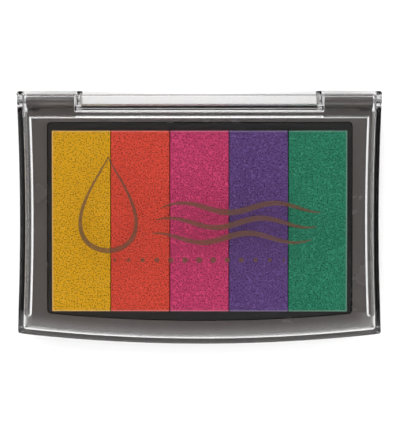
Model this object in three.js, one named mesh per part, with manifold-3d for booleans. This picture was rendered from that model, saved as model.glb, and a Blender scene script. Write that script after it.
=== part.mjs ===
// A multi-colour ink pad: five raised foam strips in a black tray, held in a grey moulded base,
// under a clear lid that turns on two pins at the back and folds right over to lie beside the base.
//
// Millimetres. X runs across the strips, Y from the front edge to the hinge, Z up from the table.
// The origin is on the table, under the middle of the closed case.
import * as THREE from "three";
import { mergeVertices } from "three/addons/utils/BufferGeometryUtils.js";
import Module from "manifold-3d";

const wasm = await Module();
wasm.setup();

// ---------------------------------------------------------------- driving dimensions

// The foam strips and what stands under and between them.
const STRIPS = [
  { name: "yellow", colour: 0xc79a06 },
  { name: "orange", colour: 0xd8503a },
  { name: "magenta", colour: 0xb5346b },
  { name: "purple", colour: 0x563c86 },
  { name: "green", colour: 0x1f7c5e },
];
const STRIP_PITCH = 19.05; // from one strip's middle to the next
const STRIP_GAP = 0.25; // between neighbouring strips, where a divider stands
const STRIP_LENGTH = 58.2;
const FOAM_THICKNESS = 8.45;
const FOAM_CORNER = 0.6;
const BACKING_THICKNESS = 1.0;
const DIVIDER_THICKNESS = 0.15;
const DIVIDER_BELOW_FOAM = 1.5; // the divider's top edge lies this far below the foam's face

// The tray that holds the strips.
const TRAY_FLOOR = 1.2;
const TRAY_SIDE_RIM = 1.65;
const TRAY_REAR_RIM = 2.7;
const TRAY_FRONT_RIM = 3.2; // in the middle, where the bowed front is widest
const TRAY_BELOW_DECK = 1.0;
const TRAY_CORNER = 1.2;

// The moulded base.
const DECK_ABOVE_AXIS = 0.05; // the deck is all but level with the hinge pins
const DECK_SIDE = 5.85; // width of the deck beside the tray, at the waist
const DECK_FRONT = 4.75;
const DECK_REAR = 3.7;
const BASE_FLOOR = 2.0; // thickness under the tray
const BASE_WALL = 1.4;
const FOOT_HEIGHT = 1.0;
const FLANGE_THICKNESS = 2.0; // the ledge under the lid's skirt, flush with the lid
const NOTCH_DEPTH = 0.4; // how far the back wall steps in between the hinge barrels
const DECK_HOLLOW_RIBS = 5; // ribs across each hollow under the deck's sides
const RIB_THICKNESS = 1.2;

// The clear lid.
const CASE_HEIGHT = 20.0;
const LID_WALL = 1.6;
const LID_PLATE = 1.4;
const PANEL_RECESS = 0.9; // the lid's window lies this far below its rails
const SIDE_BOW = 1.05; // the sides curve in by this much at the waist
const FRONT_BOW = 3.3; // the front curves out by this much in the middle
const CASE_CORNER = 0.9;
const RAIL_INSET = 1.9; // from the lid's outer edge to a rail
const RAIL_WIDTH = 2.5;
const RAIL_FRONT_MARGIN = 8.8; // from the case's front edge to the rails' front ends
const FRONT_SLOPE = 8.0; // the lid's plate slopes down over this width, in front of the rails
const FRONT_DROP = 1.1; // the front edge lies this much lower than the window
const BAND_WIDTH = 8.6; // the raised band over the hinge
const BAR_BOW = 1.0; // the lid's back edge curves in by this much between the barrels

// The hinge.
const BARREL_RADIUS = 2.3;
const BARREL_LENGTH = 15.7;
const BARREL_END_GAP = 0.7; // between a barrel's outer end and the lid's side wall
const BARREL_WALL_GAP = 0.9; // between a barrel and the base's back wall
const WEB_LENGTH = 11.5; // the part of a barrel that the base holds at full height
const SLOT_DEPTH = 1.5; // the web beside it lies this much lower, which leaves a slot at the barrel's end
const WEB_BELOW_AXIS = 2.1;
const PIN_RADIUS = 0.8;
const PIN_LENGTH = 14.0;
const PIN_STANDS_OUT = 0.2;
const EAR_RADIUS = 2.85; // the lid's ears and cheeks turn round the pin on this radius
const CHEEK_THICKNESS = 1.3;
const CHEEK_GAP = 1.0; // between a cheek and the barrel beside it
const SEAL_WALL = 1.3; // the lid's inner back wall, between the cheeks
const SEAL_WALL_BELOW_AXIS = 1.65;
const REAR_LIP_THICKNESS = 1.2;

// The label under the base.
const LABEL_WIDTH = 76;
const LABEL_LENGTH = 40;
const LABEL_THICKNESS = 0.2;
const LABEL_RECESS = 0.5;
const LABEL_CORNER = 2.0;

// Clearances.
const LID_CLEARANCE = 0.5; // between the lid's skirt and the base, beside it and under it
const FIT = 0.15; // between pieces that drop into one another
const STACK_GAP = 0.05; // between pieces that lie on one another
const FOAM_FIT = 0.25; // between the strips and the tray's wall
const PIN_PRESS_GAP = 0.05; // between a pin and the lid's ear
const PIN_RUNNING_GAP = 0.15; // between a pin and its barrel
const OPEN_LID_CLEARANCE = 0.3; // between the table and the lid's rails when it lies open
const REAR_LIP_GAP = 0.55; // between a barrel's top and the lid's rear lip
const SEAL_WALL_GAP = 0.5; // between the base's back wall and the lid's inner back wall

// Smoothness of the curves.
const FRONT_STEPS = 32;
const SIDE_STEPS = 20;
const CORNER_STEPS = 5;
const ROUND_STEPS = 32;
const RING_STEPS = 720; // in a whole ring round the middle of the front's arc

// ---------------------------------------------------------------- derived places

// Across the case.
const stripsHalfWidth = (STRIPS.length * STRIP_PITCH) / 2;
const trayHalfWidth = stripsHalfWidth + TRAY_SIDE_RIM;
const baseHalfWaist = trayHalfWidth + DECK_SIDE;
const halfWaist = baseHalfWaist + LID_CLEARANCE + LID_WALL;
const halfWidth = halfWaist + SIDE_BOW;
const skirtInset = LID_WALL + LID_CLEARANCE; // from the case's outline to the base's wall

// From front to back.
const trayFrontInset = skirtInset + DECK_FRONT;
const stripsFrontInset = trayFrontInset + TRAY_FRONT_RIM;
const axisBehindBase = BARREL_RADIUS + BARREL_WALL_GAP;
const stripsRearInset = TRAY_REAR_RIM + DECK_REAR + axisBehindBase + EAR_RADIUS;
const caseDepth = stripsFrontInset + STRIP_LENGTH + stripsRearInset;
const frontY = -caseDepth / 2;
const rearY = caseDepth / 2;
const stripsFrontY = frontY + stripsFrontInset;
const stripsRearY = stripsFrontY + STRIP_LENGTH;
const trayRearY = stripsRearY + TRAY_REAR_RIM;
const baseRearY = trayRearY + DECK_REAR;
const notchY = baseRearY - NOTCH_DEPTH;
const axisY = baseRearY + axisBehindBase;
const sealWallY = notchY + SEAL_WALL_GAP;

// Up from the table. The pins stand half way up the case, so the open lid lies flat on the table.
const axisZ = (CASE_HEIGHT + OPEN_LID_CLEARANCE) / 2;
const deckTop = axisZ + DECK_ABOVE_AXIS;
const flangeTop = FOOT_HEIGHT + FLANGE_THICKNESS;
const pocketFloor = LABEL_RECESS + BASE_FLOOR;
const trayBottom = pocketFloor + STACK_GAP;
const trayTop = deckTop - TRAY_BELOW_DECK;
const backingBottom = trayBottom + TRAY_FLOOR + STACK_GAP;
const foamBottom = backingBottom + BACKING_THICKNESS + STACK_GAP;
const foamTop = foamBottom + FOAM_THICKNESS;
const lidBottom = flangeTop + LID_CLEARANCE;
const panelTop = CASE_HEIGHT - PANEL_RECESS;
const lidUnderside = panelTop - LID_PLATE;
const rearLipBottom = axisZ + BARREL_RADIUS + REAR_LIP_GAP;

// Along the hinge.
const barrelOuterX = sideX(axisY, LID_WALL) - BARREL_END_GAP;
const barrelInnerX = barrelOuterX - BARREL_LENGTH;
const cheekOuterX = barrelInnerX - CHEEK_GAP;
const cheekInnerX = cheekOuterX - CHEEK_THICKNESS;

// ---------------------------------------------------------------- outlines

// The radius of an arc that stands `rise` proud of a chord of half length `half`.
function arcRadius(half, rise) {
  return (half * half + rise * rise) / (2 * rise);
}

// Half the case's width at y, this far inside its outer face. The sides are hollow arcs.
function sideX(y, inset) {
  const radius = arcRadius(caseDepth / 2, SIDE_BOW);
  return halfWaist + radius - Math.sqrt((radius + inset) ** 2 - y * y);
}

// The front edge's y at x, this far inside its outer face. The front is a full arc.
function bowedFrontY(x, inset) {
  const radius = arcRadius(halfWidth, FRONT_BOW);
  return frontY + radius - Math.sqrt((radius - inset) ** 2 - x * x);
}

// Where the side's arc meets the front's, found by going from one to the other until it settles.
function frontCorner(inset) {
  let x = halfWidth;
  let y = frontY;
  for (let pass = 0; pass < 12; pass += 1) {
    y = bowedFrontY(x, inset);
    x = sideX(y, inset);
  }
  return { x, y };
}

// Evenly spread values from a to b, both included.
function spread(a, b, steps) {
  return Array.from({ length: steps + 1 }, (_, i) => a + ((b - a) * i) / steps);
}

// The points of one corner, turned on its radius r; a corner without a radius stays a point.
function turnedCorner(corner, before, after) {
  const at = new THREE.Vector2(corner.x, corner.y);
  if (!corner.r) return [at];
  const back = new THREE.Vector2(before.x, before.y).sub(at).normalize();
  const on = new THREE.Vector2(after.x, after.y).sub(at).normalize();
  const halfAngle = Math.acos(back.dot(on)) / 2;
  const toCentre = back.clone().add(on).setLength(corner.r / Math.sin(halfAngle));
  const reach = corner.r / Math.tan(halfAngle);
  const start = back.setLength(reach).sub(toCentre);
  const end = on.setLength(reach).sub(toCentre);
  const turn = (Math.PI - 2 * halfAngle) * Math.sign(start.cross(end));
  const origin = new THREE.Vector2();
  return spread(0, turn, CORNER_STEPS).map((angle) =>
    start.clone().rotateAround(origin, angle).add(toCentre).add(at),
  );
}

// A closed outline through corners { x, y, r }.
function roundedOutline(corners) {
  return corners.flatMap((corner, i) =>
    turnedCorner(corner, corners.at(i - 1), corners[(i + 1) % corners.length]),
  );
}

// The case's outline this far inside its outer face, cut off square at the back.
function caseOutline(inset, backY, corner) {
  const { x: cornerX, y: cornerY } = frontCorner(inset);
  const front = spread(-cornerX, cornerX, FRONT_STEPS).map((x) => ({ x, y: bowedFrontY(x, inset) }));
  const right = spread(cornerY, backY, SIDE_STEPS).slice(1).map((y) => ({ x: sideX(y, inset), y }));
  const left = right.map(({ x, y }) => ({ x: -x, y })).reverse();
  [front[0], front.at(-1), right.at(-1), left[0]].forEach((point) => {
    point.r = corner;
  });
  return roundedOutline([...front, ...right, ...left]);
}

// A plate's outline with straight sides and a front that runs parallel with the case's front.
function bowedOutline(halfAcross, backY, frontInset, corner) {
  const front = spread(-halfAcross, halfAcross, FRONT_STEPS).map((x) => ({
    x,
    y: bowedFrontY(x, frontInset),
  }));
  const back = [
    { x: halfAcross, y: backY },
    { x: -halfAcross, y: backY },
  ];
  [front[0], front.at(-1), ...back].forEach((point) => {
    point.r = corner;
  });
  return roundedOutline([...front, ...back]);
}

// A rectangle with turned corners.
function rectangle(x0, x1, y0, y1, corner = 0) {
  return roundedOutline([
    { x: x0, y: y0, r: corner },
    { x: x1, y: y0, r: corner },
    { x: x1, y: y1, r: corner },
    { x: x0, y: y1, r: corner },
  ]);
}

// ---------------------------------------------------------------- solids

// The solid that a closed geometry bounds.
function solidOf(geometry) {
  const bare = geometry.index ? geometry.toNonIndexed() : geometry.clone();
  bare.deleteAttribute("normal");
  bare.deleteAttribute("uv");
  const merged = mergeVertices(bare, 1e-4);
  const mesh = new wasm.Mesh({
    numProp: 3,
    vertProperties: merged.attributes.position.array,
    triVerts: new Uint32Array(merged.index.array),
  });
  return new wasm.Manifold(mesh);
}

// The geometry of a solid.
function geometryOf(solid) {
  const { vertProperties, triVerts } = solid.getMesh();
  const geometry = new THREE.BufferGeometry();
  geometry.setAttribute("position", new THREE.BufferAttribute(vertProperties, 3));
  geometry.setIndex(new THREE.BufferAttribute(triVerts, 1));
  geometry.computeVertexNormals();
  return geometry;
}

// An outline raised from one height to another.
function prism(outline, bottom, top) {
  const geometry = new THREE.ExtrudeGeometry(new THREE.Shape(outline), {
    depth: top - bottom,
    bevelEnabled: false,
  });
  return solidOf(geometry.translate(0, 0, bottom));
}

function block(x0, x1, y0, y1, z0, z1) {
  const geometry = new THREE.BoxGeometry(x1 - x0, y1 - y0, z1 - z0);
  return solidOf(geometry.translate((x0 + x1) / 2, (y0 + y1) / 2, (z0 + z1) / 2));
}

// A round bar on the hinge's axis, from one x to another.
function axisBar(radius, x0, x1) {
  const geometry = new THREE.CylinderGeometry(radius, radius, Math.abs(x1 - x0), ROUND_STEPS);
  return solidOf(geometry.rotateZ(Math.PI / 2).translate((x0 + x1) / 2, axisY, axisZ));
}

function joined(solids) {
  return solids.reduce((sum, next) => sum.add(next));
}

// The same feature on both sides of the case; make(side) gets -1 for the left and 1 for the right.
function bothSides(make) {
  return joined([-1, 1].map(make));
}

// A block given by its distances from the middle, on one side of the case.
function sideBlock(side, inner, outer, y0, y1, z0, z1) {
  const [x0, x1] = side < 0 ? [-outer, -inner] : [inner, outer];
  return block(x0, x1, y0, y1, z0, z1);
}

// ---------------------------------------------------------------- the base

// Two hollows under the deck's sides, open below, each crossed by ribs.
function deckHollows() {
  const inner = trayHalfWidth + FIT + BASE_WALL;
  const outer = baseHalfWaist - BASE_WALL;
  const [startY, endY] = [stripsFrontY, stripsRearY];
  return bothSides((side) => {
    const hollow = sideBlock(side, inner, outer, startY, endY, -1, deckTop - BASE_WALL);
    const ribs = spread(startY, endY, DECK_HOLLOW_RIBS + 1)
      .slice(1, -1)
      .map((y) =>
        sideBlock(side, inner, outer, y - RIB_THICKNESS / 2, y + RIB_THICKNESS / 2, -1, deckTop),
      );
    return hollow.subtract(joined(ribs));
  });
}

// The two barrels with the webs that join them to the back wall: a full one, and a low one beside it.
function hingeBarrels() {
  return bothSides((side) => {
    const barrel = axisBar(BARREL_RADIUS, side * barrelInnerX, side * barrelOuterX);
    const webEnd = barrelInnerX + WEB_LENGTH;
    const webBottom = axisZ - WEB_BELOW_AXIS;
    const web = sideBlock(side, barrelInnerX, webEnd, notchY, axisY, webBottom, deckTop);
    const lowWeb = sideBlock(side, webEnd - 1, barrelOuterX, notchY, axisY, webBottom, deckTop - SLOT_DEPTH);
    return joined([barrel, web, lowWeb]);
  });
}

function baseSolid() {
  const ledge = prism(caseOutline(0, baseRearY, CASE_CORNER), FOOT_HEIGHT, flangeTop);
  const body = prism(caseOutline(skirtInset, baseRearY, CASE_CORNER), FOOT_HEIGHT, deckTop);
  const footInset = trayFrontInset - FIT - BASE_WALL;
  const footHalfWidth = trayHalfWidth + FIT + BASE_WALL;
  const foot = prism(bowedOutline(footHalfWidth, trayRearY, footInset, TRAY_CORNER), 0, flangeTop);
  const pocket = prism(
    bowedOutline(trayHalfWidth + FIT, trayRearY + FIT, trayFrontInset - FIT, TRAY_CORNER + FIT),
    pocketFloor,
    CASE_HEIGHT,
  );
  const notch = block(-cheekOuterX, cheekOuterX, notchY, rearY, -1, CASE_HEIGHT);
  const labelRecess = prism(
    rectangle(
      -LABEL_WIDTH / 2 - FIT,
      LABEL_WIDTH / 2 + FIT,
      -LABEL_LENGTH / 2 - FIT,
      LABEL_LENGTH / 2 + FIT,
      LABEL_CORNER + FIT,
    ),
    -1,
    LABEL_RECESS,
  );
  const bore = axisBar(PIN_RADIUS + PIN_RUNNING_GAP, -halfWidth, halfWidth);
  return joined([ledge, body, foot])
    .subtract(pocket)
    .subtract(notch)
    .subtract(deckHollows())
    .subtract(labelRecess)
    .add(hingeBarrels())
    .subtract(bore);
}

// ---------------------------------------------------------------- the tray and the strips

function traySolid() {
  const outer = prism(
    bowedOutline(trayHalfWidth, trayRearY, trayFrontInset, TRAY_CORNER),
    trayBottom,
    trayTop,
  );
  const well = prism(
    rectangle(
      -stripsHalfWidth - FOAM_FIT,
      stripsHalfWidth + FOAM_FIT,
      stripsFrontY - FOAM_FIT,
      stripsRearY + FOAM_FIT,
      FOAM_CORNER,
    ),
    trayBottom + TRAY_FLOOR,
    CASE_HEIGHT,
  );
  return outer.subtract(well);
}

// The middle of strip i, counted from the left.
function stripX(i) {
  return (i - (STRIPS.length - 1) / 2) * STRIP_PITCH;
}

// One strip's plan, from one height to another.
function stripPrism(i, bottom, top) {
  const half = (STRIP_PITCH - STRIP_GAP) / 2;
  const outline = rectangle(stripX(i) - half, stripX(i) + half, stripsFrontY, stripsRearY, FOAM_CORNER);
  return prism(outline, bottom, top);
}

// The divider to the right of strip i.
function dividerSolid(i) {
  const middle = stripX(i) + STRIP_PITCH / 2;
  const half = DIVIDER_THICKNESS / 2;
  const top = foamTop - DIVIDER_BELOW_FOAM;
  return block(middle - half, middle + half, stripsFrontY, stripsRearY, backingBottom, top);
}

// ---------------------------------------------------------------- the lid

// The raised rail along one side of the lid, round at its front end.
function railSolid(side) {
  const startY = frontY + RAIL_FRONT_MARGIN;
  const endY = rearY - BAND_WIDTH / 2;
  const ys = spread(startY, endY, SIDE_STEPS);
  const outer = ys.map((y) => ({ x: side * sideX(y, RAIL_INSET), y }));
  const inner = ys.map((y) => ({ x: side * sideX(y, RAIL_INSET + RAIL_WIDTH), y })).reverse();
  outer[0].r = RAIL_WIDTH * 0.45;
  inner.at(-1).r = RAIL_WIDTH * 0.45;
  const around = side > 0 ? [...outer, ...inner] : [...outer, ...inner].reverse();
  return prism(roundedOutline(around), lidUnderside, CASE_HEIGHT);
}

// What a plate whose top stands at this height loses to the slope that runs along the bowed front.
function frontWedge(top) {
  const radius = arcRadius(halfWidth, FRONT_BOW);
  const lower = (width) => top - (FRONT_DROP * width) / FRONT_SLOPE;
  const profile = [
    new THREE.Vector2(radius - FRONT_SLOPE, top),
    new THREE.Vector2(radius + 2, lower(FRONT_SLOPE + 2)),
    new THREE.Vector2(radius + 2, top + 1),
    new THREE.Vector2(radius - FRONT_SLOPE - 1, top + 1),
    new THREE.Vector2(radius - FRONT_SLOPE, top),
  ];
  const geometry = new THREE.LatheGeometry(profile, RING_STEPS);
  return solidOf(geometry.rotateX(Math.PI / 2).translate(0, frontY + radius, 0));
}

// The lid's back edge curves in between the cheeks: what the plate loses there.
function barHollow() {
  const radius = arcRadius(cheekInnerX, BAR_BOW);
  const arc = spread(-cheekInnerX, cheekInnerX, FRONT_STEPS).map((x) => ({
    x,
    y: rearY - BAR_BOW + radius - Math.sqrt(radius * radius - x * x),
  }));
  const outline = [...arc, { x: cheekInnerX, y: rearY + 1 }, { x: -cheekInnerX, y: rearY + 1 }];
  return prism(roundedOutline(outline), lidUnderside - 1, CASE_HEIGHT + 1);
}

function lidSolid() {
  const beyond = rearY + 5;
  const shell = prism(caseOutline(0, rearY, CASE_CORNER), lidBottom, panelTop).subtract(frontWedge(panelTop));
  const inside = prism(caseOutline(LID_WALL, beyond, CASE_CORNER), lidBottom - 1, lidUnderside).subtract(
    frontWedge(lidUnderside),
  );
  const underEars = block(-halfWidth, halfWidth, axisY - EAR_RADIUS, beyond, 0, axisZ);
  const walls = shell.subtract(inside).subtract(underEars);

  const bandFrontY = rearY - BAND_WIDTH;
  const bandBackY = rearY - PANEL_RECESS - FIT;
  const bandHalf = sideX(rearY, RAIL_INSET);
  const band = prism(
    rectangle(-bandHalf, bandHalf, bandFrontY, bandBackY, PANEL_RECESS),
    lidUnderside,
    CASE_HEIGHT,
  );
  const rails = bothSides(railSolid);

  const ears = bothSides((side) =>
    axisBar(EAR_RADIUS, side * sideX(axisY, LID_WALL), side * sideX(axisY, 0)),
  );
  const cheeks = bothSides((side) => {
    const disc = axisBar(EAR_RADIUS, side * cheekInnerX, side * cheekOuterX);
    const plate = sideBlock(side, cheekInnerX, cheekOuterX, sealWallY, rearY, axisZ, panelTop);
    return disc.add(plate);
  });
  const sealWall = block(
    -cheekOuterX,
    cheekOuterX,
    sealWallY,
    sealWallY + SEAL_WALL,
    axisZ - SEAL_WALL_BELOW_AXIS,
    panelTop,
  );
  const rearLips = bothSides((side) =>
    sideBlock(
      side,
      cheekInnerX,
      sideX(rearY, LID_WALL / 2),
      rearY - REAR_LIP_THICKNESS,
      rearY,
      rearLipBottom,
      panelTop,
    ),
  );
  const pinHoles = bothSides((side) =>
    axisBar(PIN_RADIUS + PIN_PRESS_GAP, side * (barrelOuterX - 1), side * (halfWidth + 1)),
  );
  return joined([walls, band, rails, ears, cheeks, sealWall, rearLips])
    .subtract(barHollow())
    .subtract(pinHoles);
}

// ---------------------------------------------------------------- pins and label

// A pin pressed in from outside, through the ear and into the barrel, with a slightly domed head.
function pinSolid(side) {
  const outerX = sideX(axisY, 0) + PIN_STANDS_OUT;
  const profile = [
    new THREE.Vector2(0, 0),
    new THREE.Vector2(PIN_RADIUS - PIN_STANDS_OUT, 0),
    new THREE.Vector2(PIN_RADIUS, PIN_STANDS_OUT),
    new THREE.Vector2(PIN_RADIUS, PIN_LENGTH - PIN_STANDS_OUT),
    new THREE.Vector2(PIN_RADIUS - PIN_STANDS_OUT, PIN_LENGTH),
    new THREE.Vector2(0, PIN_LENGTH),
  ];
  const geometry = new THREE.LatheGeometry(profile, ROUND_STEPS);
  geometry.rotateZ(side < 0 ? -Math.PI / 2 : Math.PI / 2);
  return solidOf(geometry.translate(side * outerX, axisY, axisZ));
}

function labelSolid() {
  const outline = rectangle(
    -LABEL_WIDTH / 2,
    LABEL_WIDTH / 2,
    -LABEL_LENGTH / 2,
    LABEL_LENGTH / 2,
    LABEL_CORNER,
  );
  return prism(outline, LABEL_RECESS - LABEL_THICKNESS - STACK_GAP, LABEL_RECESS - STACK_GAP);
}

// ---------------------------------------------------------------- the scene graph

const materials = {
  clear: { color: 0xe9eeee, roughness: 0.08, metalness: 0, transparent: true, opacity: 0.3 },
  grey: { color: 0x5a5553, roughness: 0.42, metalness: 0 },
  black: { color: 0x161416, roughness: 0.5, metalness: 0 },
  board: { color: 0x2b2b2d, roughness: 0.6, metalness: 0 },
  film: { color: 0x1d1b1f, roughness: 0.35, metalness: 0 },
  steel: { color: 0xc4c6c8, roughness: 0.25, metalness: 1 },
  label: { color: 0xeeece6, roughness: 0.55, metalness: 0 },
};

function node(name, solid, look) {
  const mesh = new THREE.Mesh(geometryOf(solid), new THREE.MeshStandardMaterial(look));
  mesh.name = name;
  return mesh;
}

const padSet = new THREE.Group();
padSet.add(node("pad_tray", traySolid(), materials.black));
STRIPS.forEach((strip, i) => {
  const backing = stripPrism(i, backingBottom, backingBottom + BACKING_THICKNESS);
  const foamLook = { color: strip.colour, roughness: 0.85, metalness: 0 };
  padSet.add(node(`backing_${strip.name}`, backing, materials.board));
  padSet.add(node(`foam_pad_${strip.name}`, stripPrism(i, foamBottom, foamTop), foamLook));
});
STRIPS.slice(0, -1).forEach((strip, i) => {
  padSet.add(node(`divider_${strip.name}_${STRIPS[i + 1].name}`, dividerSolid(i), materials.film));
});

const lower = new THREE.Group();
lower.add(node("base", baseSolid(), materials.grey));
lower.add(node("underside_label", labelSolid(), materials.label));
lower.add(padSet);

const upper = new THREE.Group();
upper.add(node("lid", lidSolid(), materials.clear));
upper.add(node("hinge_pin_left", pinSolid(-1), materials.steel));
upper.add(node("hinge_pin_right", pinSolid(1), materials.steel));

const inkPad = new THREE.Group();
inkPad.add(lower, upper);

export default inkPad;
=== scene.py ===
"""The looks of a five-colour ink pad: clear hinged lid, moulded base, black tray and foam strips."""

import logging
import math
from dataclasses import dataclass, field
from enum import Enum
from typing import Callable

import bmesh
import bpy
from mathutils import Matrix, Vector, noise

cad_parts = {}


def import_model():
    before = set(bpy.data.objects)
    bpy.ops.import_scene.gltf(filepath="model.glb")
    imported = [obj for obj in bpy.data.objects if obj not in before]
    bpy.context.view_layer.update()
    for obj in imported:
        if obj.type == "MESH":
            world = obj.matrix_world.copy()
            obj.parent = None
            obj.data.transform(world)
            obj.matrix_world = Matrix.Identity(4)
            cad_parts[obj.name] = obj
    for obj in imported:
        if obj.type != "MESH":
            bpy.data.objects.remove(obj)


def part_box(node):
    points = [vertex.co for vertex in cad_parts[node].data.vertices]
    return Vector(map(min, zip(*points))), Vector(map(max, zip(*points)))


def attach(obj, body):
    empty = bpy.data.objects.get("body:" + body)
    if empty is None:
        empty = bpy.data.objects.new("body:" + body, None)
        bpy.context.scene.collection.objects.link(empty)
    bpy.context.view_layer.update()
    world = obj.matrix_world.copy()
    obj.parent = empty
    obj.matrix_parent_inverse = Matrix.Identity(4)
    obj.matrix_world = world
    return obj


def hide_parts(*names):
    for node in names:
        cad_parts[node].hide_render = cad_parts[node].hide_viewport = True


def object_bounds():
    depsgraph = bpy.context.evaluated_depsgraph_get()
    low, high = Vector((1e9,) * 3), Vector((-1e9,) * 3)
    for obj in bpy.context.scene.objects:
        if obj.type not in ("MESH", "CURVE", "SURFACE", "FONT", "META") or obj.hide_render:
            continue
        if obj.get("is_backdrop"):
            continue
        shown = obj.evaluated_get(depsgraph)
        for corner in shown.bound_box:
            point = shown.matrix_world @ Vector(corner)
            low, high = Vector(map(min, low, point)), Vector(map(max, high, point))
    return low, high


LOG = logging.getLogger("ink_pad")
MM = 0.001
HAIR = 1e-6  # metres: points nearer than this are the same


class Ink(Enum):
    """The pad's five inks, from left to right, as the colour of the soaked sponge."""

    YELLOW = "fbbb00"
    ORANGE = "f8513b"
    MAGENTA = "db4076"
    PURPLE = "68478a"
    GREEN = "248968"

    @property
    def label(self) -> str:
        """The ink's name as the nodes spell it."""
        return self.name.lower()


class Body(Enum):
    """The two things that move against each other."""

    BASE = "base"
    LID = "lid"


def linear(hex_colour: str) -> tuple[float, float, float, float]:
    """Turns an sRGB hex colour into linear RGBA.

    Args:
        hex_colour: Six hex digits, such as "c79a06".

    Returns:
        The linear red, green, blue and an alpha of 1.
    """
    values = [int(hex_colour[i : i + 2], 16) / 255 for i in (0, 2, 4)]
    red, green, blue = (v / 12.92 if v <= 0.04045 else ((v + 0.055) / 1.055) ** 2.4 for v in values)
    return red, green, blue, 1.0


# ------------------------------------------------------------------ nodes


Inputs = dict[str | int, float | tuple[float, ...] | bpy.types.NodeSocket]
MIX_FACTOR, MIX_FIRST, MIX_SECOND = 0, 6, 7  # the inputs of a Mix node that blends colours
MIX_COLOUR = 2  # and its output


def fill(node: bpy.types.Node, inputs: Inputs) -> None:
    """Sets a node's inputs, or links them.

    Args:
        node: The node.
        inputs: Input name or number to a plain value, or to the output socket it is linked from.
    """
    for key, value in inputs.items():
        if isinstance(value, bpy.types.NodeSocket):
            node.id_data.links.new(value, node.inputs[key])
        else:
            node.inputs[key].default_value = value


def add_node(
    tree: bpy.types.NodeTree, kind: str, inputs: Inputs | None = None, **settings: str
) -> bpy.types.Node:
    """Adds a node with its settings and links.

    Args:
        tree: The tree it is added to.
        kind: The node's type name.
        inputs: Input name or number to a plain value, or to the output socket it is linked from.
        settings: The node's own properties.

    Returns:
        The new node.
    """
    node = tree.nodes.new(kind)
    for key, value in settings.items():
        setattr(node, key, value)
    fill(node, inputs or {})
    return node


class Surface:
    """A material in the making: its tree, its Principled shader and the place its patterns are drawn from."""

    def __init__(self, name: str) -> None:
        """Starts the material.

        Args:
            name: The material's name.
        """
        self.material = bpy.data.materials.new(name)
        self.material.use_nodes = True
        self.tree = self.material.node_tree
        self.tree.nodes.clear()
        self.shader = self.add("ShaderNodeBsdfPrincipled")
        self.output = self.add("ShaderNodeOutputMaterial", {"Surface": self.shader.outputs["BSDF"]})
        self.place = self.add("ShaderNodeTexCoord").outputs["Object"]

    def add(self, kind: str, inputs: Inputs | None = None, **settings: str) -> bpy.types.Node:
        """Adds a node to the material, as add_node does."""
        return add_node(self.tree, kind, inputs, **settings)

    def finish(self, inputs: Inputs) -> bpy.types.Material:
        """Sets the Principled shader's inputs and gives the material."""
        fill(self.shader, inputs)
        return self.material


def per_mm(size_mm: float) -> float:
    """Gives the noise scale whose blobs are this many millimetres across."""
    return 1 / (size_mm * MM)


def shade(colour: tuple[float, ...], gain: float, lift: float = 0.0) -> tuple[float, ...]:
    """Gives a colour made brighter or darker.

    Args:
        colour: The linear colour.
        gain: What its red, green and blue are multiplied by.
        lift: What is then added to them.

    Returns:
        The new linear colour, no brighter than white.
    """
    return *(min(1.0, value * gain + lift) for value in colour[:3]), 1.0


# ------------------------------------------------------------------ finishes


@dataclass(frozen=True)
class ClearPolystyrene:
    """Injection-moulded crystal polystyrene: glossy and clear through its plate, smoky where seen edge on."""

    tint: str = "ffffff"
    smoke: str = "8f8b8c"
    smoke_density: float = 60.0  # per metre: the thin plate stays clear and a tall wall loses half the light
    ior: float = 1.59
    roughness: float = 0.012
    flow_mm: float = 24.0  # the long, lazy waves that a moulded plate's skin has
    flow_depth_mm: float = 0.012
    flow_strength: float = 0.4

    def make(self) -> bpy.types.Material:
        """Builds the material.

        Returns:
            The material, ready to be put on a piece.
        """
        surface = Surface("clear_polystyrene_moulded")
        flow = surface.add(
            "ShaderNodeTexNoise",
            {"Vector": surface.place, "Scale": per_mm(self.flow_mm), "Detail": 1.0},
        )
        skin = surface.add(
            "ShaderNodeBump",
            {
                "Height": flow.outputs["Fac"],
                "Distance": self.flow_depth_mm * MM,
                "Strength": self.flow_strength,
            },
        )
        smoke = surface.add(
            "ShaderNodeVolumeAbsorption",
            {"Color": linear(self.smoke), "Density": self.smoke_density},
        )
        fill(surface.output, {"Volume": smoke.outputs["Volume"]})
        return surface.finish({
            "Base Color": linear(self.tint),
            "Roughness": self.roughness,
            "IOR": self.ior,
            "Transmission Weight": 1.0,
            "Normal": skin.outputs["Normal"],
        })


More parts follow.
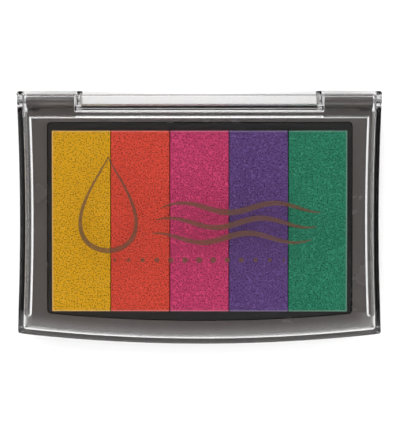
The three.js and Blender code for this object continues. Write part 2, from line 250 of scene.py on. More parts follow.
@dataclass(frozen=True)
class MouldedPolystyrene:
    """Coloured polystyrene off a fine-sparked mould: satin, with a faint grain and faintly rubbed patches."""

    name: str
    colour: str
    roughness: float = 0.4
    grain_mm: float = 0.35  # a spark-eroded mould's grain, drawn about twice as coarse so that it shows
    grain_depth_mm: float = 0.012
    grain_strength: float = 0.6
    rubbed_mm: float = 22.0
    rubbed_gain: float = 1.07
    rubbed_lift: float = 0.001
    rubbed_roughness: float = 0.01

    def make(self) -> bpy.types.Material:
        """Builds the material.

        Returns:
            The material, ready to be put on a piece.
        """
        surface = Surface(self.name)
        base = linear(self.colour)
        rubbed = surface.add(
            "ShaderNodeTexNoise",
            {"Vector": surface.place, "Scale": per_mm(self.rubbed_mm), "Detail": 5.0, "Roughness": 0.6},
        )
        cover = surface.add(
            "ShaderNodeMapRange",
            {"Value": rubbed.outputs["Fac"], "From Min": 0.2, "From Max": 0.8},
        )
        tone = surface.add(
            "ShaderNodeMix",
            {
                MIX_FACTOR: cover.outputs["Result"],
                MIX_FIRST: base,
                MIX_SECOND: shade(base, self.rubbed_gain, self.rubbed_lift),
            },
            data_type="RGBA",
        )
        gloss = surface.add(
            "ShaderNodeMapRange",
            {
                "Value": cover.outputs["Result"],
                "To Min": self.roughness - self.rubbed_roughness,
                "To Max": self.roughness + self.rubbed_roughness,
            },
        )
        grain = surface.add(
            "ShaderNodeTexNoise",
            {"Vector": surface.place, "Scale": per_mm(self.grain_mm), "Detail": 3.0},
        )
        skin = surface.add(
            "ShaderNodeBump",
            {
                "Height": grain.outputs["Fac"],
                "Distance": self.grain_depth_mm * MM,
                "Strength": self.grain_strength,
            },
        )
        return surface.finish({
            "Base Color": tone.outputs[MIX_COLOUR],
            "Roughness": gloss.outputs["Result"],
            "IOR": 1.59,
            "Normal": skin.outputs["Normal"],
        })


@dataclass(frozen=True)
class InkedFoam:
    """Fine open-cell sponge soaked with pigment ink: damp and pitted, with painted shade in its open cells,
    painted glints, patches of painted wet sheen and a painted highlight along its outer cut edges.
    """

    ink: Ink
    cell_mm: float = 0.8  # the sponge's cells, drawn a little coarser than they are so that they show
    grain_share: float = 0.55  # the open cells' size beside that
    sheen_patch_mm: float = 11.0  # the size of the patches of painted wet sheen, where more ink stands
    sheen_patch_share: float = 0.22
    pit_depth_mm: float = 0.22
    pit_strength: float = 0.9
    pore_shade_gain: float = 0.36  # how dark the painted shade in the open cells is
    painted_glint_gain: float = 1.5  # painted glints: the wet cell walls' highlights are painted in brighter than the ink itself, without a change of hue, and a little paler
    painted_glint_white: float = 0.02  # and a little paler
    edge_highlight_white: float = 0.22  # a painted highlight makes the outer cut edge paler
    edge_highlight_share: float = 0.8

    def make(self) -> bpy.types.Material:
        """Builds the material.

        Returns:
            The material, ready to be put on a piece.
        """
        surface = Surface(f"inked_foam_{self.ink.label}")
        base = linear(self.ink.value)
        # the painted shade in the open cells
        dark = shade(base, self.pore_shade_gain)
        # the colour of the painted glints, also used for the painted wet sheen
        light = shade(base, min(self.painted_glint_gain, 1 / max(base[:3])), self.painted_glint_white)
        # the painted highlight along the outer cut edges
        pale = shade(base, 1 - self.edge_highlight_white, self.edge_highlight_white)
        speckle, grains, sheen_patches = (
            surface.add(
                "ShaderNodeTexNoise",
                {"Vector": surface.place, "Scale": per_mm(size), "Detail": detail, "Roughness": roughness},
            ).outputs["Fac"]
            for size, detail, roughness in (
                (self.cell_mm, 3.0, 0.6),
                (self.cell_mm * self.grain_share, 1.0, 0.5),
                (self.sheen_patch_mm, 3.0, 0.5),
            )
        )
        # where the painted edge highlight goes
        rim = surface.add("ShaderNodeAttribute", attribute_name="rim").outputs["Fac"]

        # Each layer: its pattern, where that starts and is full, how much of it shows, and its colour.
        tone = base
        for pattern, starts, full, share, colour in (
            # painted wet sheen in broad patches, in the colour of the painted glints
            (sheen_patches, 0.3, 0.7, self.sheen_patch_share, light),
            # painted glints
            (speckle, 0.53, 0.62, 1.0, light),
            # painted shade in the open cells
            (grains, 0.47, 0.36, 1.0, dark),
            # painted highlight along the outer cut edges
            (rim, 0.0, 1.0, self.edge_highlight_share, pale),
        ):
            cover = surface.add(
                "ShaderNodeMapRange",
                {"Value": pattern, "From Min": starts, "From Max": full, "To Max": share},
            )
            layer = surface.add(
                "ShaderNodeMix",
                {MIX_FACTOR: cover.outputs["Result"], MIX_FIRST: tone, MIX_SECOND: colour},
                data_type="RGBA",
            )
            tone = layer.outputs[MIX_COLOUR]

        gloss = surface.add(
            "ShaderNodeMapRange",
            {"Value": grains, "From Min": 0.35, "From Max": 0.65, "To Min": 0.75, "To Max": 0.42},
        )
        height = surface.add("ShaderNodeMath", {0: speckle, 1: grains}, operation="MULTIPLY")
        skin = surface.add(
            "ShaderNodeBump",
            {"Height": height.outputs[0], "Distance": self.pit_depth_mm * MM, "Strength": self.pit_strength},
        )
        return surface.finish({
            "Base Color": tone,
            "Roughness": gloss.outputs["Result"],
            "Specular IOR Level": 0.22,
            "Normal": skin.outputs["Normal"],
        })


@dataclass(frozen=True)
class PrintedVarnish:
    """Brown-gold varnish pad-printed on the lid: a thin see-through film, a little uneven in cover."""

    dark: str = "3d2109"
    light: str = "523011"
    cover: float = 0.78
    mottle_mm: float = 1.4

    def make(self) -> bpy.types.Material:
        """Builds the material.

        Returns:
            The material, ready to be put on a piece.
        """
        surface = Surface("pad_printed_gold_varnish")
        mottle = surface.add(
            "ShaderNodeTexNoise",
            {"Vector": surface.place, "Scale": per_mm(self.mottle_mm), "Detail": 3.0},
        )
        tone = surface.add(
            "ShaderNodeMix",
            {MIX_FACTOR: mottle.outputs["Fac"], MIX_FIRST: linear(self.dark), MIX_SECOND: linear(self.light)},
            data_type="RGBA",
        )
        return surface.finish({"Base Color": tone.outputs[MIX_COLOUR], "Roughness": 0.4, "Alpha": self.cover})


@dataclass(frozen=True)
class PinSteel:
    """Drawn and cut mild steel wire: bright, with fine lines round it."""

    dull: str = "a9abad"
    bright: str = "cfd1d2"
    line_mm: float = 0.12
    line_depth_mm: float = 0.01

    def make(self) -> bpy.types.Material:
        """Builds the material.

        Returns:
            The material, ready to be put on a piece.
        """
        surface = Surface("drawn_steel_pin")
        along = surface.add("ShaderNodeMapping", {"Vector": surface.place, "Scale": (0.1, 1.0, 1.0)})
        lines = surface.add(
            "ShaderNodeTexNoise",
            {"Vector": along.outputs["Vector"], "Scale": per_mm(self.line_mm), "Detail": 2.0},
        ).outputs["Fac"]
        tone = surface.add(
            "ShaderNodeMix",
            {MIX_FACTOR: lines, MIX_FIRST: linear(self.dull), MIX_SECOND: linear(self.bright)},
            data_type="RGBA",
        )
        gloss = surface.add(
            "ShaderNodeMapRange",
            {"Value": lines, "From Min": 0.3, "From Max": 0.7, "To Min": 0.22, "To Max": 0.34},
        )
        skin = surface.add(
            "ShaderNodeBump",
            {"Height": lines, "Distance": self.line_depth_mm * MM, "Strength": 0.5},
        )
        return surface.finish({
            "Base Color": tone.outputs[MIX_COLOUR],
            "Metallic": 1.0,
            "Roughness": gloss.outputs["Result"],
            "Normal": skin.outputs["Normal"],
        })


@dataclass(frozen=True)
class LabelPaper:
    """Coated label paper: smooth, off-white, with a faint fibre."""

    shadow: str = "ebe8e0"
    sheet: str = "f5f3ee"
    fibre_mm: float = 0.8
    fibre_depth_mm: float = 0.01

    def make(self) -> bpy.types.Material:
        """Builds the material.

        Returns:
            The material, ready to be put on a piece.
        """
        surface = Surface("coated_label_paper")
        fibre = surface.add(
            "ShaderNodeTexNoise",
            {"Vector": surface.place, "Scale": per_mm(self.fibre_mm), "Detail": 5.0, "Roughness": 0.7},
        ).outputs["Fac"]
        tone = surface.add(
            "ShaderNodeMix",
            {MIX_FACTOR: fibre, MIX_FIRST: linear(self.shadow), MIX_SECOND: linear(self.sheet)},
            data_type="RGBA",
        )
        skin = surface.add(
            "ShaderNodeBump",
            {"Height": fibre, "Distance": self.fibre_depth_mm * MM, "Strength": 0.4},
        )
        return surface.finish({
            "Base Color": tone.outputs[MIX_COLOUR],
            "Roughness": 0.55,
            "Normal": skin.outputs["Normal"],
        })


@dataclass(frozen=True)
class PrintedPatch:
    """Flat printing ink on label paper: a touch glossier than the paper, with the press's fine mottle."""

    name: str
    colour: str
    mottle_mm: float = 0.5
    mottle_gain: float = 1.15
    mottle_lift: float = 0.01

    def make(self) -> bpy.types.Material:
        """Builds the material.

        Returns:
            The material, ready to be put on a piece.
        """
        surface = Surface(self.name)
        base = linear(self.colour)
        mottle = surface.add(
            "ShaderNodeTexNoise",
            {"Vector": surface.place, "Scale": per_mm(self.mottle_mm), "Detail": 3.0},
        )
        tone = surface.add(
            "ShaderNodeMix",
            {
                MIX_FACTOR: mottle.outputs["Fac"],
                MIX_FIRST: base,
                MIX_SECOND: shade(base, self.mottle_gain, self.mottle_lift),
            },
            data_type="RGBA",
        )
        return surface.finish({"Base Color": tone.outputs[MIX_COLOUR], "Roughness": 0.45})


# ------------------------------------------------------------------ mesh helpers


def finished(
    name: str, bm: bmesh.types.BMesh, material: bpy.types.Material, smooth_degrees: float = 35
) -> bpy.types.Object:
    """Turns a bmesh into an object at the origin, smooth but for its sharp edges.

    Args:
        name: The object's name.
        bm: The mesh, in metres, in the object's frame; it is freed.
        material: What the piece is made of.
        smooth_degrees: Faces that meet more sharply than this aren't blended.

    Returns:
        The object.
    """
    mesh = bpy.data.meshes.new(name)
    normals = weighted_normals(bm, smooth_degrees)
    bm.to_mesh(mesh)
    bm.free()
    mesh.materials.append(material)
    mesh.shade_smooth()
    mesh.normals_split_custom_set(normals)
    piece = bpy.data.objects.new(name, mesh)
    bpy.context.scene.collection.objects.link(piece)
    return piece


def weighted_normals(bm: bmesh.types.BMesh, smooth_degrees: float) -> list[Vector]:
    """Gives each face corner a normal that keeps wide flat faces flat and turns on the rounded edges.

    Args:
        bm: The mesh.
        smooth_degrees: Faces that meet more sharply than this aren't blended.

    Returns:
        One normal for each corner of each face, in the mesh's order.
    """
    least = math.cos(math.radians(smooth_degrees))
    bm.normal_update()
    areas = [face.calc_area() for face in bm.faces]
    bm.faces.index_update()
    normals = []
    for face in bm.faces:
        for loop in face.loops:
            near = (other for other in loop.vert.link_faces if other.normal.dot(face.normal) > least)
            total = sum((other.normal * areas[other.index] for other in near), Vector())
            normals.append(total.normalized() if total.length > 0 else face.normal.copy())
    return normals


def block(bm: bmesh.types.BMesh, low: Vector, high: Vector) -> None:
    """Adds a box between two corners."""
    place = Matrix.Translation((low + high) / 2) @ Matrix.Diagonal((*(high - low), 1.0))
    bmesh.ops.create_cube(bm, size=1.0, matrix=place)


def rounded(
    bm: bmesh.types.BMesh,
    edges: list[bmesh.types.BMEdge],
    radius_mm: float,
    segments: int,
    clamp: bool = True,
) -> None:
    """Rounds edges; one segment makes a chamfer.

    Args:
        bm: The mesh.
        edges: The edges to round.
        radius_mm: How far the rounding reaches from each edge.
        segments: How many faces it has.
        clamp: Whether it shrinks to what the shortest edge beside it has room for.
    """
    bmesh.ops.bevel(
        bm,
        geom=edges,
        offset=radius_mm * MM,
        offset_type="OFFSET",
        segments=segments,
        profile=0.5,
        affect="EDGES",
        clamp_overlap=clamp,
        material=-1,
    )


def stroke(bm: bmesh.types.BMesh, path: list[Vector], widths_mm: list[float], facing: float = 1.0) -> None:
    """Draws a flat brush stroke along a path, by extruding its cross edge from point to point.

    Args:
        bm: The mesh it is added to.
        path: The points of its middle line, all at one height.
        widths_mm: Its width at each point.
        facing: 1 for a stroke seen from above, -1 for one seen from below.
    """
    last = len(path) - 1
    edge = bm.edges.new([bm.verts.new(path[0]), bm.verts.new(path[0])])
    faces = []
    for i, point in enumerate(path):
        along = (path[min(i + 1, last)] - path[max(i - 1, 0)]).normalized()
        across = along.cross(Vector((0, 0, 1))) * (widths_mm[i] * MM / 2)
        if i > 0:
            grown = bmesh.ops.extrude_edge_only(bm, edges=[edge])["geom"]
            edge = next(item for item in grown if isinstance(item, bmesh.types.BMEdge))
            faces += [item for item in grown if isinstance(item, bmesh.types.BMFace)]
        start, end = edge.verts
        start.co, end.co = point - across, point + across
    bm.normal_update()
    bmesh.ops.reverse_faces(bm, faces=[face for face in faces if face.normal.z * facing < 0])


# ------------------------------------------------------------------ moulded pieces


@dataclass(frozen=True)
class EdgeRule:
    """Which sharp edges of a moulding are rounded together, and by how much; one segment is a chamfer."""

    radius_mm: float
    segments: int = 3
    clamp: bool = True
    picks: Callable[[bmesh.types.BMEdge], bool] = lambda edge: True


@dataclass
class Moulding:
    """A piece that keeps its engineered shape and gains rounded edges and a finish."""

    node: str
    body: Body
    slot: str
    material: bpy.types.Material
    round_mm: float = 0.2
    merge_mm: float = 0.006  # edges shorter than this, where curved outlines cross, are closed up
    sliver_mm: float = 0.001  # faces thinner than this, which the merging can leave folded flat, are dropped
    flat_degrees: float = 0.05  # faces that meet at less than this are one flat face
    sharp_degrees: float = 38.0

    def rules(self) -> list[EdgeRule]:
        """Gives the roundings, in the order in which they are made.

        Returns:
            One rule for each kind of edge that is rounded.
        """
        return [EdgeRule(self.round_mm)]

    def build(self) -> bpy.types.Object:
        """Copies the engineered shape, joins its flat faces and rounds its edges.

        Returns:
            The finished piece.
        """
        bm = bmesh.new()
        bm.from_mesh(bpy.data.objects[self.node].data)
        bmesh.ops.remove_doubles(bm, verts=bm.verts, dist=self.merge_mm * MM)
        bmesh.ops.dissolve_degenerate(bm, dist=self.sliver_mm * MM, edges=bm.edges)
        bmesh.ops.dissolve_limit(
            bm,
            angle_limit=math.radians(self.flat_degrees),
            verts=bm.verts,
            edges=bm.edges,
            use_dissolve_boundaries=False,
        )
        for rule in self.rules():
            edges = [edge for edge in self.sharp_edges(bm) if rule.picks(edge)]
            rounded(bm, edges, rule.radius_mm, rule.segments, rule.clamp)
        piece = finished(f"{self.node}_shell", bm, self.material)
        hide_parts(self.node)
        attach(piece, self.body.value)
        LOG.info("%s: %d faces", piece.name, len(piece.data.polygons))
        return piece

    def sharp_edges(self, bm: bmesh.types.BMesh) -> list[bmesh.types.BMEdge]:
        """Finds the edges whose two faces meet sharply."""
        least = math.radians(self.sharp_degrees)
        return [edge for edge in bm.edges if edge.is_manifold and edge.calc_face_angle() > least]


@dataclass
class Lid(Moulding):
    """The clear lid: rolled outer edge, soft inside corners, rounded rails, roof-shaped lower edges."""

    rim_mm: float = 0.2  # the roll of the plate's outer edge
    inside_mm: float = 0.8  # the fillet where the walls meet the plate
    rail_mm: float = 0.8  # the roll of the rails' and the hinge band's top edges
    skirt_chamfer_mm: float = 0.6  # the side walls' lower edges come to a blunt roof shape
    wall_chamfer_mm: float = 0.55  # so does the inner back wall, which guides the lid on to the base
    lip_chamfer_mm: float = 0.35
    rail_height_mm: float = 0.9
    front_drop_mm: float = 1.2  # no part of the sloping front lies lower than this below the window
    plate_mm: float = 1.4
    hair_mm: float = 0.05  # heights nearer than this are the same
    level: float = 0.9  # the least cosine at which a face counts as level
    side_share: float = 0.93  # the side walls' edges lie further out than this share of the half width
    wall_foot: tuple[float, float] = (0.35, 0.45)  # the shares of the height where the inner back wall ends
    lip_foot: tuple[float, float] = (0.6, 0.7)  # and where the lips over the barrels do

    def rules(self) -> list[EdgeRule]:
        """Gives the roundings, in the order in which they are made.

        Returns:
            One rule for each kind of edge that is rounded.
        """
        low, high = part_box(self.node)
        window = high.z - self.rail_height_mm * MM
        ceiling = window - self.plate_mm * MM
        drop = self.front_drop_mm * MM
        hair = self.hair_mm * MM

        def looks(edge: bmesh.types.BMEdge, sign: int, bottom: float, top: float) -> bool:
            """Tells whether an edge lies between two heights, by a face looking up (1) or down (-1)."""
            level = any(face.normal.z * sign > self.level for face in edge.link_faces)
            return level and all(bottom < vert.co.z < top for vert in edge.verts)

        def inside(edge: bmesh.types.BMEdge) -> bool:
            """Picks the inner corners round the ceiling."""
            return not edge.is_convex and looks(edge, -1, ceiling - drop, ceiling + hair)

        def rim(edge: bmesh.types.BMEdge) -> bool:
            """Picks the plate's outer edge along the front and the sides."""
            ahead = min(vert.co.y for vert in edge.verts) < high.y - 1.0 * MM
            return ahead and edge.is_convex and looks(edge, 1, window - drop, window + hair)

        def rail(edge: bmesh.types.BMEdge) -> bool:
            """Picks the top edges of the rails and of the band over the hinge."""
            return edge.is_convex and looks(edge, 1, high.z - hair, high.z + hair)

        def skirt(edge: bmesh.types.BMEdge) -> bool:
            """Picks the lower edges of the side walls."""
            side = min(abs(vert.co.x) for vert in edge.verts) > high.x * self.side_share
            return side and edge.is_convex and looks(edge, -1, low.z - hair, low.z + hair)

        def inner_wall(edge: bmesh.types.BMEdge) -> bool:
            """Picks the lower edges of the inner back wall."""
            return edge.is_convex and looks(edge, -1, *(high.z * share for share in self.wall_foot))

        def lip(edge: bmesh.types.BMEdge) -> bool:
            """Picks the lower edges of the lips over the barrels."""
            return edge.is_convex and looks(edge, -1, *(high.z * share for share in self.lip_foot))

        return [
            EdgeRule(self.inside_mm, segments=4, clamp=False, picks=inside),
            EdgeRule(self.rim_mm, segments=3, clamp=False, picks=rim),
            EdgeRule(self.rail_mm, segments=4, clamp=False, picks=rail),
            EdgeRule(self.skirt_chamfer_mm, segments=1, clamp=False, picks=skirt),
            EdgeRule(self.wall_chamfer_mm, segments=1, clamp=False, picks=inner_wall),
            EdgeRule(self.lip_chamfer_mm, segments=1, clamp=False, picks=lip),
        ]


# ------------------------------------------------------------------ foam strips


@dataclass
class FoamStrip:
    """One inked foam strip: a soft-edged block with a pitted, faintly uneven face."""

    ink: Ink
    grid_mm: float = 0.55
    edge_mm: float = 0.2
    sag_mm: float = 0.05
    sag_span_mm: float = 7.0
    pit_mm: float = 0.06
    cell_mm: float = 0.9

    def build(self) -> bpy.types.Object:
        """Makes the strip in the space its plain solid holds.

        Returns:
            The finished strip.
        """
        node = f"foam_pad_{self.ink.label}"
        low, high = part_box(node)
        bm = bmesh.new()
        block(bm, low, high)
        rim = [edge for edge in bm.edges if any(vert.co.z > high.z - HAIR for vert in edge.verts)]
        rounded(bm, rim, self.edge_mm, 3)
        for normal in (Vector((1, 0, 0)), Vector((0, 1, 0))):
            length = (high - low).dot(normal)
            steps = round(length / (self.grid_mm * MM))
            for i in range(1, steps):
                geom = list(bm.verts) + list(bm.edges) + list(bm.faces)
                at = low + normal * (length * i / steps)
                bmesh.ops.bisect_plane(bm, geom=geom, dist=HAIR / 10, plane_co=at, plane_no=normal)
        self.roughen(bm, high.z)
        self.mark_highlit_edges(bm, low, high)
        bmesh.ops.recalc_face_normals(bm, faces=bm.faces)
        piece = finished(f"{node}_sponge", bm, InkedFoam(self.ink).make(), smooth_degrees=60)
        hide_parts(node)
        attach(piece, Body.BASE.value)
        LOG.info("%s: %d faces", piece.name, len(piece.data.polygons))
        return piece

    def mark_highlit_edges(self, bm: bmesh.types.BMesh, low: Vector, high: Vector) -> None:
        """Marks the outer edges of the row of strips, where a painted highlight makes the sponge paler.

        Args:
            bm: The strip's mesh.
            low: The strip's lowest corner.
            high: The strip's highest corner.
        """
        # this layer marks where the painted edge highlight goes
        rim = bm.verts.layers.float.new("rim")
        near = self.edge_mm * MM + HAIR
        for vert in bm.verts:
            ends = min(vert.co.y - low.y, high.y - vert.co.y) < near
            left = self.ink is Ink.YELLOW and vert.co.x - low.x < near
            right = self.ink is Ink.GREEN and high.x - vert.co.x < near
            vert[rim] = float(ends or left or right)

    def roughen(self, bm: bmesh.types.BMesh, top: float) -> None:
        """Lets the face sag a little and dips its pits.

        Args:
            bm: The strip's mesh.
            top: The height of its face.
        """
        for vert in bm.verts:
            if vert.co.z > top - self.edge_mm * MM * 0.5:
                wave = noise.noise(vert.co / (self.sag_span_mm * MM)) * self.sag_mm
                pit = noise.noise(vert.co / (self.cell_mm * MM)) * self.pit_mm
                vert.co.z += (wave + pit - self.sag_mm - self.pit_mm) * MM


# ------------------------------------------------------------------ print


@dataclass
class LidPrint:
    """A plain motif printed on the lid's window: an ink drop, three brush waves and a row of dots."""

    material: bpy.types.Material
    drop_middle_mm: tuple[float, float] = (-29.0, 4.5)
    drop_half_mm: tuple[float, float] = (12.5, 15.0)
    drop_taper: float = 1.4  # how quickly the drop narrows to its tip
    drop_tip_mm: float = 0.35  # the line's width at the tip
    drop_foot_mm: float = 1.6  # and at the foot
    wave_span_mm: tuple[float, float] = (-12.5, 39.0)
    wave_heights_mm: tuple[float, ...] = (3.2, -1.6, -6.4)
    wave_swing_mm: float = 1.5
    wave_turns: float = 1.75
    wave_shift_mm: float = 1.5  # how much further left each wave lies than the one behind it
    wave_phase: float = 0.6  # how much further its swing has turned, in radians
    wave_tip_mm: float = 0.15
    wave_growth_mm: float = 1.7  # how much wider its middle is than its tips
    wave_fullness: float = 0.7
    dot_count: int = 13
    dots_start_mm: tuple[float, float] = (-27.0, -13.5)
    dots_pitch_mm: float = 4.5
    dot_radius_mm: float = 0.45
    dot_growth_mm: float = 0.5
    dot_sides: int = 20
    rail_height_mm: float = 0.9
    film_mm: float = 0.02
    steps: int = 72

    def build(self) -> bpy.types.Object:
        """Draws the motif on top of the window.

        Returns:
            The printed film, which moves with the lid.
        """
        bm = bmesh.new()
        self.drop(bm)
        for number, height in enumerate(self.wave_heights_mm):
            self.wave(bm, height, number)
        self.dots(bm)
        piece = finished("lid_print", bm, self.material)
        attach(piece, Body.LID.value)
        LOG.info("%s: %d faces", piece.name, len(piece.data.polygons))
        return piece

    def point(self, x_mm: float, y_mm: float) -> Vector:
        """Gives a point of the printed film, just above the window."""
        return Vector((x_mm * MM, y_mm * MM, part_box("lid")[1].z - (self.rail_height_mm - self.film_mm) * MM))

    def drop(self, bm: bmesh.types.BMesh) -> None:
        """Draws a drop's outline, thin at the tip and full at the foot.

        Args:
            bm: The mesh.
        """
        middle_x, middle_y = self.drop_middle_mm
        half_x, half_y = self.drop_half_mm
        turns = [math.tau * i / self.steps for i in range(self.steps + 1)]
        path = [
            self.point(
                middle_x + half_x * math.sin(turn) * abs(math.sin(turn / 2)) ** self.drop_taper,
                middle_y + half_y * math.cos(turn),
            )
            for turn in turns
        ]
        growth = self.drop_foot_mm - self.drop_tip_mm
        stroke(bm, path, [self.drop_tip_mm + growth * math.sin(turn / 2) ** 2 for turn in turns])

    def wave(self, bm: bmesh.types.BMesh, height: float, number: int) -> None:
        """Draws one tapered wave.

        Args:
            bm: The mesh.
            height: Its middle line, in millimetres.
            number: Which wave it is, from the back.
        """
        start, end = (value - self.wave_shift_mm * number for value in self.wave_span_mm)
        shares = [i / self.steps for i in range(self.steps + 1)]
        turns = [math.tau * self.wave_turns * share + self.wave_phase * number for share in shares]
        path = [
            self.point(start + (end - start) * share, height + self.wave_swing_mm * math.sin(turn))
            for share, turn in zip(shares, turns)
        ]
        swell = [math.sin(math.pi * share) ** self.wave_fullness for share in shares]
        stroke(bm, path, [self.wave_tip_mm + self.wave_growth_mm * value for value in swell])

    def dots(self, bm: bmesh.types.BMesh) -> None:
        """Draws a row of dots that grow and shrink.

        Args:
            bm: The mesh.
        """
        start_x, y = self.dots_start_mm
        for i in range(self.dot_count):
            growth = self.dot_growth_mm * math.sin(math.pi * i / (self.dot_count - 1))
            bmesh.ops.create_circle(
                bm,
                cap_ends=True,
                segments=self.dot_sides,
                radius=(self.dot_radius_mm + growth) * MM,
                matrix=Matrix.Translation(self.point(start_x + self.dots_pitch_mm * i, y)),
            )


@dataclass
class LabelPrint:
    """The plain print on the label underneath: a thin frame round five colour patches."""

    inset_mm: float = 2.5
    line_mm: float = 0.5
    patch_mm: float = 4.2
    pitch_mm: float = 12.0
    film_mm: float = 0.02
    patch_sides: int = 32

    def build(self) -> bpy.types.Object:
        """Draws the print just below the label's face.

        Returns:
            The printed film, which stays with the base.
        """
        low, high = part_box("underside_label")
        z = low.z - self.film_mm * MM
        inset = self.inset_mm * MM
        corners = [
            Vector((low.x + inset, low.y + inset, z)),
            Vector((high.x - inset, low.y + inset, z)),
            Vector((high.x - inset, high.y - inset, z)),
            Vector((low.x + inset, high.y - inset, z)),
        ]
        bm = bmesh.new()
        for start, end in zip(corners, corners[1:] + corners[:1]):
            stroke(bm, [start, end], [self.line_mm] * 2, facing=-1)
        for number in range(len(Ink)):
            place = Vector(((number - (len(Ink) - 1) / 2) * self.pitch_mm * MM, 0, z))
            turn = Matrix.Translation(place) @ Matrix.Rotation(math.pi, 4, "X")
            made = bmesh.ops.create_circle(
                bm, cap_ends=True, segments=self.patch_sides, radius=self.patch_mm * MM, matrix=turn
            )
            for face in {face for vert in made["verts"] for face in vert.link_faces}:
                face.material_index = number + 1
        piece = finished("underside_label_print", bm, PrintedPatch("label_line_ink", "55524f").make())
        for ink in Ink:
            piece.data.materials.append(PrintedPatch(f"label_patch_{ink.label}", ink.value).make())
        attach(piece, Body.BASE.value)
        LOG.info("%s: %d faces", piece.name, len(piece.data.polygons))
        return piece


# ------------------------------------------------------------------ studio


@dataclass(frozen=True)
class Softbox:
    """A long soft light: where it hangs from the case's middle, its size in metres and its brightness."""

    name: str
    offset: tuple[float, float, float]
    size: tuple[float, float]
    radiance: float

    def build(self, middle: Vector) -> None:
        """Hangs the light so that it faces the case, its long side level.

        Args:
            middle: The case's middle.
        """
        light = bpy.data.lights.new(self.name, "AREA")
        light.shape = "RECTANGLE"
        light.size, light.size_y = self.size
        light.energy = self.radiance * math.pi * self.size[0] * self.size[1]
        lamp = bpy.data.objects.new(self.name, light)
        offset = Vector(self.offset)
        lamp.location = middle + offset
        lamp.rotation_mode = "QUATERNION"
        lamp.rotation_quaternion = (-offset).to_track_quat("-Z", "Y")
        bpy.context.scene.collection.objects.link(lamp)


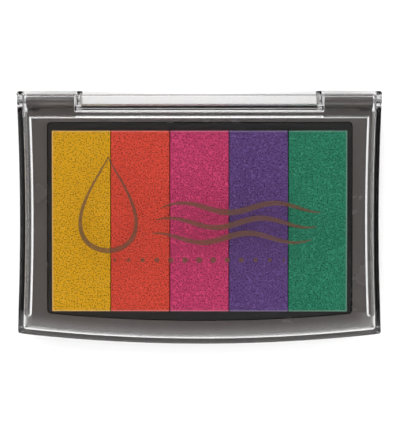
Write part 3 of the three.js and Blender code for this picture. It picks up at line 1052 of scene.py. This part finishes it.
@dataclass
class Studio:
    """The pale floor, the light tent, its softboxes and the camera, placed round the case."""

    low: Vector
    high: Vector
    camera_height: float = 0.575
    camera_offset: Vector = field(default_factory=lambda: Vector((0.0083, 0.0149, 0)))
    aim_offset: Vector = field(default_factory=lambda: Vector((0.0003, 0.0006, 0)))
    lens: float = 145.4
    tent_strength: float = 1.62
    belt_strength: float = 0.5  # the tent's lower part is dimmer, so that the lid mirrors less of it
    belt_from: float = 0.45  # the cosine, from straight up, below which the tent is dim
    belt_to: float = 0.65
    hole_share: float = 0.02  # what is left of the tent's light in the hole overhead
    hole_from: float = 0.93  # the cosine, from straight up, at which the tent starts to go dark
    hole_to: float = 0.985
    floor_half: float = 3.0
    softboxes: tuple[Softbox, ...] = (
        Softbox("softbox_back_left", (-0.2, 0.5, 0.6), (0.5, 0.3), 5.0),
        Softbox("softbox_front", (0.1, -0.6, 0.5), (0.7, 0.2), 2.8),
        Softbox("softbox_right", (0.62, 0.05, 0.45), (0.5, 0.2), 2.8),
    )

    def build(self) -> None:
        """Makes the floor, the tent, the lights and the camera."""
        middle = (self.low + self.high) / 2
        self.floor()
        self.tent()
        for softbox in self.softboxes:
            softbox.build(middle)
        self.camera(middle)

    def floor(self) -> None:
        """Lays a wide pale floor."""
        bm = bmesh.new()
        bmesh.ops.create_grid(bm, x_segments=1, y_segments=1, size=self.floor_half)
        paint = Surface("pale_floor").finish({
            "Base Color": linear("fefefe"),
            "Roughness": 0.9,
            "Specular IOR Level": 0.1,
        })
        finished("floor", bm, paint)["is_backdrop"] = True

    def tent(self) -> None:
        """Sets a pale surround, dimmer low down, with a dark hole overhead, as a tent has round its lens."""
        world = bpy.data.worlds.new("light_tent")
        world.use_nodes = True
        tree = world.node_tree
        tree.nodes.clear()
        place = add_node(tree, "ShaderNodeTexCoord")
        split = add_node(tree, "ShaderNodeSeparateXYZ", {"Vector": place.outputs["Generated"]})
        belt = add_node(
            tree,
            "ShaderNodeMapRange",
            {
                "Value": split.outputs["Z"],
                "From Min": self.belt_from,
                "From Max": self.belt_to,
                "To Min": self.belt_strength,
                "To Max": self.tent_strength,
            },
        )
        hole = add_node(
            tree,
            "ShaderNodeMapRange",
            {
                "Value": split.outputs["Z"],
                "From Min": self.hole_from,
                "From Max": self.hole_to,
                "To Min": 1.0,
                "To Max": self.hole_share,
            },
        )
        both = add_node(
            tree,
            "ShaderNodeMath",
            {0: belt.outputs["Result"], 1: hole.outputs["Result"]},
            operation="MULTIPLY",
        )
        cloth = add_node(
            tree,
            "ShaderNodeBackground",
            {"Color": linear("ffffff"), "Strength": both.outputs[0]},
        )
        add_node(tree, "ShaderNodeOutputWorld", {"Surface": cloth.outputs["Background"]})
        bpy.context.scene.world = world

    def camera(self, middle: Vector) -> None:
        """Sets the camera high over the case, all but straight down.

        Args:
            middle: The case's middle.
        """
        data = bpy.data.cameras.new("camera")
        data.lens = self.lens
        data.clip_end = 10.0
        camera = bpy.data.objects.new("camera", data)
        camera.location = Vector((middle.x, middle.y, self.camera_height)) + self.camera_offset
        aim = Vector((middle.x, middle.y, self.high.z)) + self.aim_offset
        back = (camera.location - aim).normalized()
        right = Vector((0, 1, 0)).cross(back).normalized()
        camera.rotation_mode = "QUATERNION"
        camera.rotation_quaternion = Matrix((right, back.cross(right), back)).transposed().to_quaternion()
        bpy.context.scene.collection.objects.link(camera)
        bpy.context.scene.camera = camera


# ------------------------------------------------------------------ the ink pad


def main() -> None:
    """Builds every piece round the engineered frame."""
    logging.basicConfig(level=logging.INFO, format="%(name)s: %(message)s")
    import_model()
    cad_low, cad_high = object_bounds()
    bpy.context.scene.view_settings.view_transform = "Standard"

    grey = MouldedPolystyrene("grey_polystyrene_moulded", "655f5d", roughness=0.27).make()
    black = MouldedPolystyrene("black_polystyrene_moulded", "120f0e", roughness=0.42).make()
    board = MouldedPolystyrene(
        "backing_board_pressed", "2b2b2d", roughness=0.6, grain_mm=0.8, grain_depth_mm=0.03
    ).make()
    film = MouldedPolystyrene(
        "divider_film_rolled", "3b3335", roughness=0.35, grain_mm=2.0, grain_depth_mm=0.01
    ).make()
    steel = PinSteel().make()

    Moulding("base", Body.BASE, "grey_plastic", grey, round_mm=0.25).build()
    Moulding("pad_tray", Body.BASE, "black_plastic", black).build()
    for ink in Ink:
        Moulding(f"backing_{ink.label}", Body.BASE, "backing_board", board, round_mm=0.1).build()
        FoamStrip(ink).build()
    inks = list(Ink)
    for left, right in zip(inks, inks[1:]):
        node = f"divider_{left.label}_{right.label}"
        Moulding(node, Body.BASE, "divider_film", film, round_mm=0.03).build()
    Moulding("underside_label", Body.BASE, "label_paper", LabelPaper().make(), round_mm=0.03).build()
    LabelPrint().build()

    Lid("lid", Body.LID, "clear_plastic", ClearPolystyrene().make()).build()
    LidPrint(PrintedVarnish().make()).build()
    for side in ("left", "right"):
        Moulding(f"hinge_pin_{side}", Body.LID, "pin_steel", steel, round_mm=0.05).build()

    Studio(cad_low, cad_high).build()


if __name__ == "__main__":
    main()
